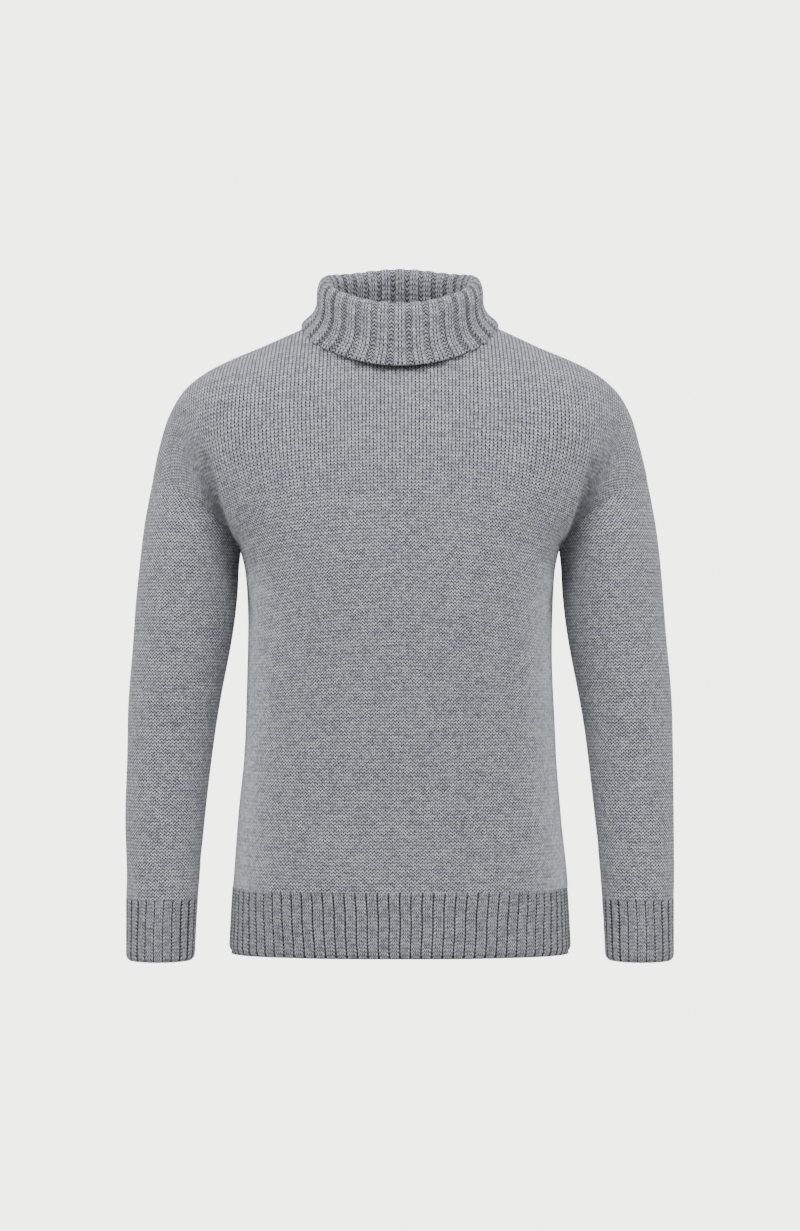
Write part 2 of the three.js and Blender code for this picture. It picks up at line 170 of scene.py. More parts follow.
class Curve:
    """A smooth curve through a short table of values."""

    def __init__(self, keys: Row, values: Row) -> None:
        """Keeps the table and works out its slopes.

        Args:
            keys: rising places of the table's rows.
            values: what the curve reads at each of them.
        """
        self.keys = np.asarray(keys, float)
        self.values = np.asarray(values, float)
        last = len(self.keys) - 1
        lower = np.maximum(np.arange(last + 1) - 1, 0)
        upper = np.minimum(np.arange(last + 1) + 1, last)
        rise = self.values[upper] - self.values[lower]
        self.slopes = rise / (self.keys[upper] - self.keys[lower])

    def __call__(self, at: Numbers) -> np.ndarray:
        """Value of the curve at a place, or at each of an array of them."""
        at = np.asarray(at, float)
        i = np.clip(np.searchsorted(self.keys, at) - 1, 0, len(self.keys) - 2)
        span = self.keys[i + 1] - self.keys[i]
        t = (at - self.keys[i]) / span
        j = i + 1
        return hermite(self.values[i], self.slopes[i], self.values[j], self.slopes[j], span, t)


def hermite(
    start: Numbers, start_slope: Numbers, end: Numbers, end_slope: Numbers, span: Numbers, t: Numbers
) -> Numbers:
    """Cubic from one value to another, with the slope given at each of them.

    Args:
        start, start_slope: the first value and its slope.
        end, end_slope: the second value and its slope.
        span: distance between the two.
        t: share of the way, from 0 to 1.

    Returns:
        The value on the cubic.
    """
    return (
        start * (2 * t**3 - 3 * t**2 + 1)
        + start_slope * span * (t**3 - 2 * t**2 + t)
        + end * (3 * t**2 - 2 * t**3)
        + end_slope * span * (t**3 - t**2)
    )


def smooth_step(start: float, end: float, value: Numbers) -> np.ndarray:
    """0 before start, 1 after end, and a soft rise between them."""
    t = np.clip((np.asarray(value, float) - start) / (end - start), 0, 1)
    return t * t * (3 - 2 * t)


def mix(start: Numbers, end: Numbers, share: Numbers) -> Numbers:
    """The value that lies a share of the way from start to end."""
    return start + (end - start) * share


def points_of(x: Numbers, y: Numbers, z: Numbers) -> np.ndarray:
    """Joins three arrays of coordinates into an array of points."""
    return np.stack(np.broadcast_arrays(x, y, z), axis=-1)


def lengths_along(points: np.ndarray) -> np.ndarray:
    """Length along each column of a grid of points, from its first row."""
    steps = np.linalg.norm(np.diff(points, axis=0), axis=-1)
    return np.concatenate([np.zeros((1, points.shape[1])), np.cumsum(steps, axis=0)])


def unevenness(points: np.ndarray, size: float, seed: float) -> np.ndarray:
    """Soft hills and dips between about -1 and 1, the same at each run.

    Args:
        points: places in millimetres.
        size: width of a hill in millimetres.
        seed: shifts the pattern, so that pieces differ.

    Returns:
        One value for each point.
    """
    x, y, z = (points[..., i] / size for i in range(3))
    return (
        np.sin(1.9 * x + 2.7 * z + 1.3 * seed)
        + np.sin(-2.3 * x + 1.6 * z + 2.1 * y + 2.9 * seed)
        + np.sin(3.1 * z + 1.1 * y - 0.7 * x + 4.7 * seed)
    ) / 3


# ------------------------------------------------------------------ the garment's form


@dataclass(frozen=True)
class Side:
    """The front or the back of the garment.

    sign is -1 for the front, crest is the height at the middle of the neck where the two panels
    would meet, column is the place of its depth in BODY_LEVELS, and fullness says how full the
    panel is between the underarm and the shoulder seam at four places across.
    """

    sign: int
    crest: float
    column: int
    fullness: tuple[float, float, float, float]


FRONT = Side(sign=-1, crest=-8.0, column=2, fullness=(0.88, 1.12, 0.94, 0.9))
BACK = Side(sign=1, crest=34.0, column=3, fullness=(0.72, 0.85, 0.85, 0.88))
FULLNESS_PLACES = (0.0, NECK_SHARE, ARM_ROUNDING_START, 1.0)


class GarmentForm:
    """The surface halfway through the cloth, for the wearer's left; the right is its mirror."""

    SECTION_STEPS = 400
    NECK_SEARCH = (0.3, 1.0)
    NECK_SEARCH_STEPS = 40

    def __init__(self) -> None:
        """Reads the tables of sizes into curves."""
        levels = np.array(BODY_LEVELS)
        self.half_width = Curve(levels[:, 0], levels[:, 1])
        self.depths = {side: Curve(levels[:, 0], levels[:, side.column]) for side in (FRONT, BACK)}
        self.fullness = {side: Curve(FULLNESS_PLACES, side.fullness) for side in (FRONT, BACK)}
        line = np.array(SHOULDER_LINE)
        along = np.concatenate([[0], np.cumsum(np.linalg.norm(np.diff(line, axis=0), axis=1))])
        self.shoulder_length = along[-1]
        self.shoulder_x = Curve(along, line[:, 0])
        self.shoulder_z = Curve(along, line[:, 1])
        self.shoulder_slope = (line[1, 1] - line[0, 1]) / (line[1, 0] - line[0, 0])
        rings = np.array(SLEEVE_RINGS)
        self.sleeve = [Curve(rings[:, 0], rings[:, i]) for i in range(1, rings.shape[1])]
        self.angles = np.linspace(0, QUARTER_TURN, self.SECTION_STEPS + 1)
        outline = self.section(levels[-1, 1], levels[-1, FRONT.column], self.angles)
        steps = np.linalg.norm(np.diff(outline, axis=0), axis=1)
        self.angle_shares = np.concatenate([[0], np.cumsum(steps)]) / steps.sum()

    @staticmethod
    def section(half_width: Numbers, depth: Numbers, angle: Numbers) -> np.ndarray:
        """Points on a body section: x, and the depth from the side seams."""
        cos = np.maximum(np.cos(angle), 0)
        x = half_width * np.sin(angle) ** BODY_SQUARENESS
        return np.stack([x, depth * cos**BODY_SQUARENESS], axis=-1)

    def body(self, side: Side, across: Numbers, z: Numbers) -> np.ndarray:
        """Point of a panel below the underarm; across is 0 at its middle and 1 at the side seam."""
        angle = np.interp(across, self.angle_shares, self.angles)
        flat = self.section(self.half_width(z), self.depths[side](z), angle)
        return points_of(flat[..., 0], side.sign * flat[..., 1], z)

    def top(self, side: Side, across: np.ndarray) -> np.ndarray:
        """Line over which a panel's columns end: the shoulder seam, and its crest inside the neck.

        Args:
            side: the panel's side.
            across: places of the columns.

        Returns:
            The end of each column.
        """
        share = np.clip(across / NECK_SHARE, 0, 1)
        crest = hermite(
            side.crest, 0, SHOULDER_LINE[0][1], self.shoulder_slope, NECK_HALF_WIDTH, share
        )
        along = self.shoulder_length * np.clip((across - NECK_SHARE) / (1 - NECK_SHARE), 0, 1)
        inside = across < NECK_SHARE
        x = np.where(inside, NECK_HALF_WIDTH * share, self.shoulder_x(along))
        return points_of(x, 0.0, np.where(inside, crest, self.shoulder_z(along)))

    @staticmethod
    def ring(
        inner: np.ndarray,
        outer: np.ndarray,
        half_depth: Numbers,
        lift: Numbers,
        sign: int,
        turn: np.ndarray,
    ) -> np.ndarray:
        """Point of an oval ring.

        Args:
            inner: its end at turn 0.
            outer: its end half a turn on.
            half_depth: how far it reaches from the line between them.
            lift: how far it rises over its plane halfway.
            sign: -1 where it first goes round the front, and 1 where it goes round the back.
            turn: angle of the point.

        Returns:
            The point.
        """
        share = (1 - np.cos(turn)) / 2
        slope = np.arctan2(outer[..., 2] - inner[..., 2], outer[..., 0] - inner[..., 0])
        rise = lift * np.sin(turn) ** 2
        point = inner + (outer - inner) * share[..., None]
        shift = points_of(-rise * np.sin(slope), sign * half_depth * np.sin(turn), rise * np.cos(slope))
        return point + shift

    def yoke(self, side: Side, across: np.ndarray, rise: np.ndarray) -> np.ndarray:
        """Point of a panel above the underarm.

        Args:
            side: the panel's side.
            across: 0 at the panel's middle and 1 at the armhole.
            rise: 0 at the underarm and 1 at the shoulder seam.

        Returns:
            The point.
        """
        foot = self.body(side, across, np.full(np.shape(across), UNDERARM))
        top = self.top(side, across)
        fullness = self.fullness[side](across)
        height = np.sin(QUARTER_TURN * rise) ** fullness
        depth = np.maximum(np.cos(QUARTER_TURN * rise), 0) ** fullness
        spread = (1 - np.cos(math.pi * height**SPREAD_POWER)) / 2
        arch = points_of(
            mix(foot[..., 0], top[..., 0], spread),
            foot[..., 1] * depth,
            mix(foot[..., 2], top[..., 2], height),
        )
        half_depth, lift = SLEEVE_RINGS[0][6:8]
        cap = self.ring(foot, top, half_depth, lift, side.sign, math.pi * rise)
        return mix(arch, cap, smooth_step(ARM_ROUNDING_START, 1, across)[..., None])

    def neck_rise(self, side: Side, across: np.ndarray) -> np.ndarray:
        """How far up each column goes before it meets the oval neckline.

        Args:
            side: the panel's side.
            across: places of the columns.

        Returns:
            The rise at which each column ends.
        """
        low = np.full(across.shape, self.NECK_SEARCH[0])
        high = np.full(across.shape, self.NECK_SEARCH[1])
        for _ in range(self.NECK_SEARCH_STEPS):
            middle = (low + high) / 2
            point = self.yoke(side, across, middle)
            reach = np.hypot(point[..., 0] / NECK_HALF_WIDTH, point[..., 1] / NECK_HALF_DEPTH)
            low, high = np.where(reach > 1, middle, low), np.where(reach > 1, high, middle)
        return np.where(across < NECK_SHARE, low, 1.0)

    def sleeve_point(self, along: np.ndarray, turn: np.ndarray) -> np.ndarray:
        """Point of the sleeve; turn goes from its inner side round its front, once round."""
        inner_x, inner_z, outer_x, outer_z, y, half_depth, lift = (c(along) for c in self.sleeve)
        inner, outer = points_of(inner_x, y, inner_z), points_of(outer_x, y, outer_z)
        return self.ring(inner, outer, half_depth, lift, FRONT.sign, turn)


FORM = GarmentForm()


# ------------------------------------------------------------------ cloth grids


def outward_normals(points: np.ndarray, closed: bool) -> np.ndarray:
    """Outward directions at the points of a grid.

    Args:
        points: rows of points.
        closed: whether the last column lies on the first.

    Returns:
        A unit vector for each point.
    """
    if closed:
        ring = np.concatenate([points[:, -2:-1], points, points[:, 1:2]], axis=1)
        across = np.gradient(ring, axis=1)[:, 1:-1]
    else:
        across = np.gradient(points, axis=1)
    up = np.gradient(points, axis=0)
    normal = np.cross(across, up)
    return normal / np.maximum(np.linalg.norm(normal, axis=-1, keepdims=True), 1e-9)


@dataclass
class ClothGrid:
    """A sheet of knitting as rows of points from its lower edge up, with its outer side facing out.

    wales and courses are each point's place in the knitting. rise is 1 on raised knitting and 0 in a
    rib's groove (in the collar's grooves it falls less far), and the lower it is, the darker the
    painted shade there. draw is 1 where the knitting is pulled wide, so that its columns show more
    than its rows, and below 0 where the painted shade between its stitches is paler, at the torso's
    sides. A closed grid goes once round, and its last column lies on its first one.
    """

    points: np.ndarray
    wales: np.ndarray
    courses: np.ndarray
    rise: np.ndarray
    draw: np.ndarray
    closed: bool = False

    def push(self, distance: np.ndarray) -> None:
        """Moves every point outwards by its own distance in millimetres."""
        self.points = self.points + outward_normals(self.points, self.closed) * distance[..., None]

    def arrays(self) -> list[np.ndarray]:
        """What the sheet says of each point."""
        return [self.points, self.wales, self.courses, self.rise, self.draw]

    def turned(self) -> "ClothGrid":
        """The same piece with its columns in the other order, so that its other side faces out."""
        return ClothGrid(*(array[:, ::-1] for array in self.arrays()), self.closed)

    def mirrored(self) -> "ClothGrid":
        """The same piece for the other side of the garment."""
        other = self.turned()
        other.points = other.points * np.array([-1, 1, 1])
        other.wales = -other.wales
        return other

    def with_mirror(self) -> "ClothGrid":
        """Half of a piece joined to its mirror image."""
        pairs = zip(self.mirrored().arrays(), self.arrays())
        return ClothGrid(*(np.concatenate([other[:, :-1], own], axis=1) for other, own in pairs))

    def mesh(self, name: str) -> bpy.types.Mesh:
        """Makes the sheet as a mesh, with its knitting places and a bake map as UV maps.

        Args:
            name: the mesh's name.

        Returns:
            The mesh, in metres.
        """
        rows, columns = self.wales.shape
        bm = bmesh.new()
        bmesh.ops.create_grid(bm, x_segments=columns - 1, y_segments=rows - 1, size=0.5)
        mesh = bpy.data.meshes.new(name)
        bm.to_mesh(mesh)
        place = np.empty(len(mesh.vertices) * 3, np.float32)
        mesh.vertices.foreach_get("co", place)
        place = place.reshape(-1, 3)[:, :2] + 0.5
        column = np.rint(place[:, 0] * (columns - 1)).astype(int)
        row = np.rint(place[:, 1] * (rows - 1)).astype(int)
        mesh.vertices.foreach_set("co", (self.points[row, column] * MM).astype(np.float32).ravel())
        corner = np.empty(len(mesh.loops), np.int32)
        mesh.loops.foreach_get("vertex_index", corner)
        stitches = np.stack([self.wales[row, column], self.courses[row, column]], axis=1)
        relief = np.stack([self.rise[row, column], self.draw[row, column]], axis=1)
        for layer, values in (("Knit", stitches), ("Relief", relief), ("OFBake", place)):
            uv = mesh.uv_layers.new(name=layer)
            uv.uv.foreach_set("vector", values[corner].astype(np.float32).ravel())
        bm.free()
        if self.closed:
            self.close_seam(mesh)
        mesh.shade_smooth()
        return mesh

    @staticmethod
    def close_seam(mesh: bpy.types.Mesh) -> None:
        """Joins the first and the last column of a closed grid."""
        bm = bmesh.new()
        bm.from_mesh(mesh)
        rim = [vert for vert in bm.verts if vert.is_boundary]
        bmesh.ops.remove_doubles(bm, verts=rim, dist=1e-6)
        bm.to_mesh(mesh)
        bm.free()


@dataclass(frozen=True)
class Ribbing:
    """Two-by-two rib: raised bands of two plain wales, with two reverse wales sunk between them.

    A repeat is a band and its groove. band is the share of it that is raised, edge how softly the
    band's sides fall, depth how deep the groove is, and plain and reverse how many lines of yarn
    the band and the groove show. side_shade_widening is the share by which the groove is marked
    wider where the garment turns away to its sides, which widens its painted shade and its reverse
    stitches, and crown is how much a band falls to its edges.
    """

    band: float
    edge: float
    depth: float
    plain: int = 4
    reverse: int = 2
    side_shade_widening: float = 0.0
    crown: float = 0.12

    def height(self, phase: np.ndarray, widened: np.ndarray | float = 0.0) -> np.ndarray:
        """Height of the section, 1 on a band and 0 in a groove; whole numbers are bands' middles.

        Args:
            phase: place across the ribs, in repeats.
            widened: share of the repeat by which the groove is wider than its own size.

        Returns:
            The height at each place.
        """
        off = 2 * np.abs(phase - np.rint(phase))
        band = self.band - widened
        crown = 1 - self.crown * np.minimum(off / band, 1) ** 2
        return crown * (1 - smooth_step(band - self.edge, band + self.edge, off))

    def wales(self, phase: np.ndarray) -> np.ndarray:
        """Place in lines of yarn, the plain ones spread over the band and the rest over the groove."""
        whole = np.rint(phase)
        off = 2 * (phase - whole)
        inside = self.plain / 2 * off / self.band
        beyond = (np.abs(off) - self.band) / (1 - self.band)
        outside = np.sign(off) * (self.plain + self.reverse * beyond) / 2
        offset = self.plain / 2 + (self.plain + self.reverse) * whole
        return offset + np.where(np.abs(off) < self.band, inside, outside)


# ------------------------------------------------------------------ folds


@dataclass(frozen=True)
class ArmholeFold:
    """The fold in which the chest (or the back) laps over the arm, down to the underarm.

    top and foot are the x and height of its ends, depth is how deep the arm's side lies under it,
    lip is how far the chest's edge laps over, and sag is how far the rows of stitches drop to it.
    """

    side: Side
    top: tuple[float, float]
    foot: tuple[float, float]
    depth: float
    lip: float
    sag: float

    # Shares of the line over which it deepens and fades, and how far to its side it falls and ends.
    DEEPENS = (-0.1, 0.85)
    FADES = (1.05, 1.7)
    FALLS = (-1.0, 4.0)
    ENDS = (5.0, 40.0)
    LIP_FADES = (0.55, 0.85)
    RAISED = 0.14

    def places(self, points: np.ndarray) -> tuple[np.ndarray, np.ndarray]:
        """Where points lie along and beside the fold.

        Args:
            points: points of a piece.

        Returns:
            How far down the fold each is (0 to 1), and how far to the arm's side of it.
        """
        top, foot = np.array(self.top), np.array(self.foot)
        length = np.linalg.norm(foot - top)
        down = (foot - top) / length
        offset = np.stack([np.abs(points[..., 0]), points[..., 2]], axis=-1) - top
        return offset @ down / length, offset @ np.array([-down[1], down[0]])

    def press(self, points: np.ndarray) -> np.ndarray:
        """Presses the fold into a piece.

        Args:
            points: points of the piece.

        Returns:
            The moved points.
        """
        along, beside = self.places(points)
        room = np.maximum(points[..., 1] * self.side.sign, 0)
        strength = smooth_step(*self.DEEPENS, along) * (1 - smooth_step(*self.FADES, along))
        depth = self.depth * strength
        depth = depth * room / (room + depth + 1e-6)
        pressed = smooth_step(*self.FALLS, beside) * (1 - smooth_step(*self.ENDS, beside))
        raised = self.RAISED * np.exp(-(((beside + 8) / 10) ** 2))
        lip = self.lip * strength * (1 - smooth_step(*self.LIP_FADES, along))
        lip = lip * room / (room + 10) * np.exp(-((beside / 7) ** 2))
        moved = points.copy()
        moved[..., 0] += np.sign(points[..., 0]) * lip
        moved[..., 1] -= self.side.sign * depth * (pressed - raised)
        return moved

    def dropped_rows(self, points: np.ndarray) -> np.ndarray:
        """How many courses the rows of stitches drop on their way to the fold."""
        along, beside = self.places(points)
        strength = smooth_step(-0.7, 0.4, along) * (1 - smooth_step(1.1, 2.6, along))
        return self.sag * strength * np.exp(np.minimum(beside, 0) / 60) / COURSE


@dataclass(frozen=True)
class Crease:
    """A soft trough (or with a depth below 0, a soft ridge) on the front or the back.

    start and end are the x and height of its ends, and width is how wide it is at each side.
    """

    side: Side
    start: tuple[float, float]
    end: tuple[float, float]
    depth: float
    width: float

    def distance(self, points: np.ndarray) -> np.ndarray:
        """How far the crease moves each point outwards.

        Args:
            points: points of a piece.

        Returns:
            The distances.
        """
        start, end = np.array(self.start), np.array(self.end)
        length = np.linalg.norm(end - start)
        run = (end - start) / length
        offset = points[..., [0, 2]] - start
        along = offset @ run / length
        beside = offset @ np.array([-run[1], run[0]])
        ends = smooth_step(-0.15, 0.3, along) * (1 - smooth_step(0.7, 1.15, along))
        facing = smooth_step(0, 20, points[..., 1] * self.side.sign)
        return -self.depth * ends * facing * np.exp(-((beside / self.width) ** 2))


FOLDS = {
    FRONT: ArmholeFold(FRONT, (206.0, -128.0), (172.0, -254.0), depth=34.0, lip=2.0, sag=22.0),
    BACK: ArmholeFold(BACK, (214.0, -138.0), (173.0, -254.0), depth=22.0, lip=3.0, sag=10.0),
}

BODY_CREASES = {
    FRONT: (
        Crease(FRONT, (168.0, -262.0), (96.0, -226.0), 1.6, 9.0),
        Crease(FRONT, (-166.0, -268.0), (-104.0, -236.0), 1.3, 8.0),
        Crease(FRONT, (160.0, -300.0), (110.0, -285.0), 1.0, 9.0),
        Crease(FRONT, (-150.0, -560.0), (-70.0, -600.0), 0.9, 14.0),
        Crease(FRONT, (60.0, -590.0), (150.0, -560.0), 0.9, 14.0),
    ),
    BACK: (
        Crease(BACK, (164.0, -262.0), (88.0, -238.0), 1.5, 10.0),
        Crease(BACK, (-164.0, -266.0), (-92.0, -234.0), 1.6, 9.0),
        Crease(BACK, (-120.0, -470.0), (20.0, -488.0), 1.6, 14.0),
        Crease(BACK, (-30.0, -520.0), (125.0, -505.0), 1.4, 13.0),
    ),
}

# Creases of the wearer's left sleeve, and of the right one before it is mirrored.
SLEEVE_CREASES = {
    True: (
        Crease(FRONT, (202.0, -392.0), (262.0, -418.0), 1.6, 9.0),
        Crease(FRONT, (204.0, -440.0), (252.0, -448.0), 1.1, 8.0),
        Crease(FRONT, (216.0, -556.0), (270.0, -574.0), 1.0, 10.0),
        Crease(BACK, (210.0, -402.0), (276.0, -425.0), 1.5, 10.0),
        Crease(BACK, (214.0, -455.0), (270.0, -462.0), 1.1, 9.0),
    ),
    False: (
        Crease(FRONT, (200.0, -380.0), (250.0, -400.0), 1.3, 9.0),
        Crease(FRONT, (206.0, -428.0), (266.0, -446.0), 1.5, 9.0),
        Crease(FRONT, (216.0, -580.0), (266.0, -566.0), 0.9, 10.0),
        Crease(BACK, (208.0, -410.0), (270.0, -418.0), 1.3, 10.0),
        Crease(BACK, (216.0, -448.0), (280.0, -470.0), 1.2, 9.0),
    ),
}


# ------------------------------------------------------------------ cloth pieces


@dataclass
class BodyPanel:
    """The front or the back, in plain knit, up to the neckline and the shoulder seams.

    columns is for half of its width. column_samples and body_share say how finely a column is
    followed and how much of it lies below the underarm. Half of the panel has half_wales at the
    hem, and shoulder_wales more at the shoulder. flat and flat_area are its cut, in metres.
    """

    name: str
    node: str
    side: Side
    columns: int = 92
    rows: int = 240
    column_samples: int = 420
    body_share: float = 0.62
    spread_reach: float = 200.0
    half_wales: float = 66.0
    shoulder_wales: float = 22.0
    flat: tuple[float, float] = (0.7, 0.66)
    flat_area: float = 0.34

    def places_across(self) -> np.ndarray:
        """Places of the columns from the middle to the edge, closer together at the armhole."""
        inner = int(self.columns * NECK_SHARE)
        turn = np.linspace(0, QUARTER_TURN, inner, endpoint=False)
        share = np.linspace(0, 1, self.columns - inner + 1)
        outer = mix(NECK_SHARE, 1, share * (1.35 - 0.35 * share))
        return np.concatenate([NECK_SHARE * np.sin(turn), outer])

    def columns_up(self, across: np.ndarray) -> tuple[np.ndarray, np.ndarray, np.ndarray]:
        """Points evenly spaced up each column of half the panel.

        Args:
            across: places of the columns.

        Returns:
            The points, how far over the underarm each is, and its length up its column.
        """
        lower = int(self.column_samples * self.body_share)
        z = np.linspace(HEM_TOP, UNDERARM, lower, endpoint=False)[:, None]
        below = FORM.body(self.side, across[None, :], np.broadcast_to(z, (lower, len(across))))
        share = np.linspace(0, 1, self.column_samples - lower)[:, None]
        rise = share * FORM.neck_rise(self.side, across)[None, :]
        above = FORM.yoke(self.side, np.broadcast_to(across[None, :], rise.shape), rise)
        rise_below = np.broadcast_to((z - UNDERARM) / self.spread_reach, below.shape[:2])
        dense = np.concatenate([below, above])
        known = np.concatenate([dense, np.concatenate([rise_below, rise])[..., None]], axis=-1)
        length = lengths_along(dense)
        at = np.linspace(0, 1, self.rows + 1)[:, None] * length[-1]
        even = np.empty((*at.shape, known.shape[-1]))
        for i, k in np.ndindex(len(across), known.shape[-1]):
            even[:, i, k] = np.interp(at[:, i], length[:, i], known[:, i, k])
        return even[..., :3], even[..., 3], at

    def grid(self) -> ClothGrid:
        """The whole panel before its folds, with more wales at the shoulders than at the hem."""
        across = self.places_across()
        points, rises, length = self.columns_up(across)
        added = self.shoulder_wales * smooth_step(-0.2, 1, rises) * across**1.6
        wales = self.half_wales * across + added
        courses = length / COURSE + FOLDS[self.side].dropped_rows(points)
        draw = smooth_step(DRAWN_BELOW, DRAWN_ABOVE, points[..., 2])
        # Towards the side seams, from just below the underarm down, draw falls below 0 so that the
        # painted shade between the stitches is paler and the torso's sides look brighter.
        paler_side_shade = smooth_step(0.45, 0.9, across) * smooth_step(-225, -300, points[..., 2])
        half = ClothGrid(points, wales, courses, np.ones_like(wales), draw - paler_side_shade)
        return half.with_mirror().turned() if self.side is BACK else half.with_mirror()

    def shape(self) -> ClothGrid:
        """The panel with its folds and unevenness."""
        grid = self.grid()
        seed = 1.0 if self.side is FRONT else 2.0
        distance = 0.8 * unevenness(grid.points, 70, seed)
        for crease in BODY_CREASES[self.side]:
            distance = distance + crease.distance(grid.points)
        grid.push(distance)
        grid.points = FOLDS[self.side].press(grid.points)
        return grid


@dataclass
class HemRib:
    """The ribbed hem under one panel."""

    name: str
    node: str
    side: Side
    columns: int = 290
    rows: int = 35
    repeats: int = 22
    ribbing: Ribbing = Ribbing(band=0.74, edge=0.13, depth=3.2, side_shade_widening=0.13)
    lean: float = 0.026
    waver: float = 0.03
    edge_drop: float = 1.5
    corner_drop: float = 3.0
    flat: tuple[float, float] = (0.51, 0.069)
    flat_area: float | None = None

    def shape(self) -> ClothGrid:
        """The rib with its relief, leaning a little, and rolled in at its lower edge."""
        across = np.linspace(-1, 1, 2 * self.columns + 1)[None, :]
        up = np.linspace(0, 1, self.rows + 1)[:, None]
        bottom = HEM_BOTTOM - self.edge_drop - self.corner_drop * across**2
        z = mix(bottom, HEM_TOP, up)
        across = across + 0 * up
        points = FORM.body(self.side, np.abs(across), z)
        points[..., 0] *= np.sign(across)
        lean = self.lean * (1 - up) * np.sin(math.pi * across)
        phase = self.repeats * (across + lean) + 0.5
        phase = phase + self.waver * np.sin(9 * up + 7 * across) * (1 - across**2)
        wales = self.ribbing.wales(phase)
        courses = (z - HEM_BOTTOM) / COURSE
        even = np.ones_like(wales)
        grid = ClothGrid(points, wales, courses, even, RIB_DRAW * even)
        if self.side is BACK:
            grid, z, phase = grid.turned(), z[:, ::-1], phase[:, ::-1]
        at_side = smooth_step(0.5, 0.85, np.abs(across))
        raise_ribs(grid, self.ribbing, phase, HEM_TOP - z, z - HEM_BOTTOM, at_side)
        return grid


def rib_start(distance: np.ndarray, phase: np.ndarray) -> np.ndarray:
    """How fully the ribs stand, 0 at the plain knit and 1 past it; each rib starts a little apart."""
    uneven = 1.3 * np.sin(2.4 * np.rint(phase + 0.5)) + 0.8 * np.sin(5.1 * np.rint(phase + 0.5) + 1)
    return smooth_step(0, 2.4, distance - 0.5 * np.abs(uneven))


def raise_ribs(
    grid: ClothGrid,
    ribbing: Ribbing,
    phase: np.ndarray,
    down: np.ndarray,
    up: np.ndarray,
    at_side: np.ndarray,
) -> None:
    """Gives a hem or a cuff its ribs, and rolls its lower edge in.

    Args:
        grid: the smooth piece.
        ribbing: the section of its ribs.
        phase: place across the ribs, in repeats.
        down: distance below the plain knit.
        up: distance above the lower edge.
        at_side: 0 where the garment faces forwards or back, and 1 at its sides.
    """
    start = rib_start(down, phase)
    # rise marks the grooves, where shade is painted and reverse stitches show; towards the sides the
    # grooves are marked wider than they are, which widens their painted shade.
    grid.rise = mix(1, ribbing.height(phase, ribbing.side_shade_widening * at_side), start)
    height = mix(1, ribbing.height(phase), start) - mix(1, RIB_MIDDLE, start)
    strength = smooth_step(*EDGE_FADE, up) * (1 - SIDE_FADE * at_side)
    grid.push(ribbing.depth * height * strength - rolled_edge(up, 6, 3))


def rolled_edge(distance: np.ndarray, reach: float, inward: float) -> np.ndarray:
    """How far cloth rolls in near an edge: inward at the edge itself, and nothing beyond reach."""
    t = np.clip(1 - distance / reach, 0, 1)
    return inward * (1 - np.sqrt(1 - np.minimum(t, 0.999) ** 2))


@dataclass
class Sleeve:
    """A sleeve in plain knit, from the dropped armhole to its cuff."""

    name: str
    node: str
    left: bool
    columns: int = 136
    rows: int = 160
    flat: tuple[float, float] = (0.4, 0.47)
    flat_area: float = 0.155

    def shape(self) -> ClothGrid:
        """The sleeve with its soft folds."""
        turn = np.linspace(0, 2 * math.pi, self.columns + 1)[None, :]
        along = np.linspace(CUFF_TOP, 0, self.rows + 1)[:, None]
        turn, along = np.broadcast_arrays(turn, along)
        points = FORM.sleeve_point(along, turn)
        steps = np.linalg.norm(np.diff(points, axis=1), axis=-1)
        round_it = np.concatenate([np.zeros((len(points), 1)), np.cumsum(steps, axis=1)], axis=1)
        wales = (round_it - round_it[:, -1:] / 2) / WALE
        courses = lengths_along(points) / COURSE
        draw = np.zeros_like(wales)
        grid = ClothGrid(points, wales, courses, np.ones_like(wales), draw, closed=True)
        distance = 0.8 * unevenness(grid.points, 60, 3.0 + self.left) * np.sin(turn / 2) ** 0.5
        distance = distance * smooth_step(0, 0.08, along) * smooth_step(0, 0.05, CUFF_TOP - along)
        for crease in SLEEVE_CREASES[self.left]:
            distance = distance + crease.distance(grid.points)
        grid.push(distance)
        for fold in FOLDS.values():
            grid.points = fold.press(grid.points)
        return grid if self.left else grid.mirrored()


@dataclass
class Cuff:
    """A ribbed cuff, with its ribs a little closer together at its front and back."""

    name: str
    node: str
    left: bool
    columns: int = 330
    rows: int = 28
    repeats: int = 22
    crowding: float = 0.1
    waver: float = 0.05
    ribbing: Ribbing = Ribbing(band=0.72, edge=0.14, depth=3.2, side_shade_widening=0.08)
    flat: tuple[float, float] = (0.255, 0.068)
    flat_area: float | None = None

    def shape(self) -> ClothGrid:
        """The cuff with its relief, rolled in at its lower edge."""
        turn = np.linspace(0, 2 * math.pi, self.columns + 1)[None, :]
        along = np.linspace(CUFF_BOTTOM, CUFF_TOP, self.rows + 1)[:, None]
        turn, along = np.broadcast_arrays(turn, along)
        points = FORM.sleeve_point(along, turn)
        length = lengths_along(points)
        crowded = turn - self.crowding / 2 * np.sin(2 * turn)
        phase = self.repeats * crowded / (2 * math.pi) + 0.5
        phase = phase + self.waver * np.sin(length / 21 + 2 * turn)
        wales = self.ribbing.wales(phase)
        even = np.ones_like(wales)
        grid = ClothGrid(points, wales, length / COURSE, even, RIB_DRAW * even, closed=True)
        at_side = smooth_step(0.3, 0.85, np.abs(np.cos(turn)))
        raise_ribs(grid, self.ribbing, phase, length[-1:] - length, length, at_side)
        return grid if self.left else grid.mirrored()


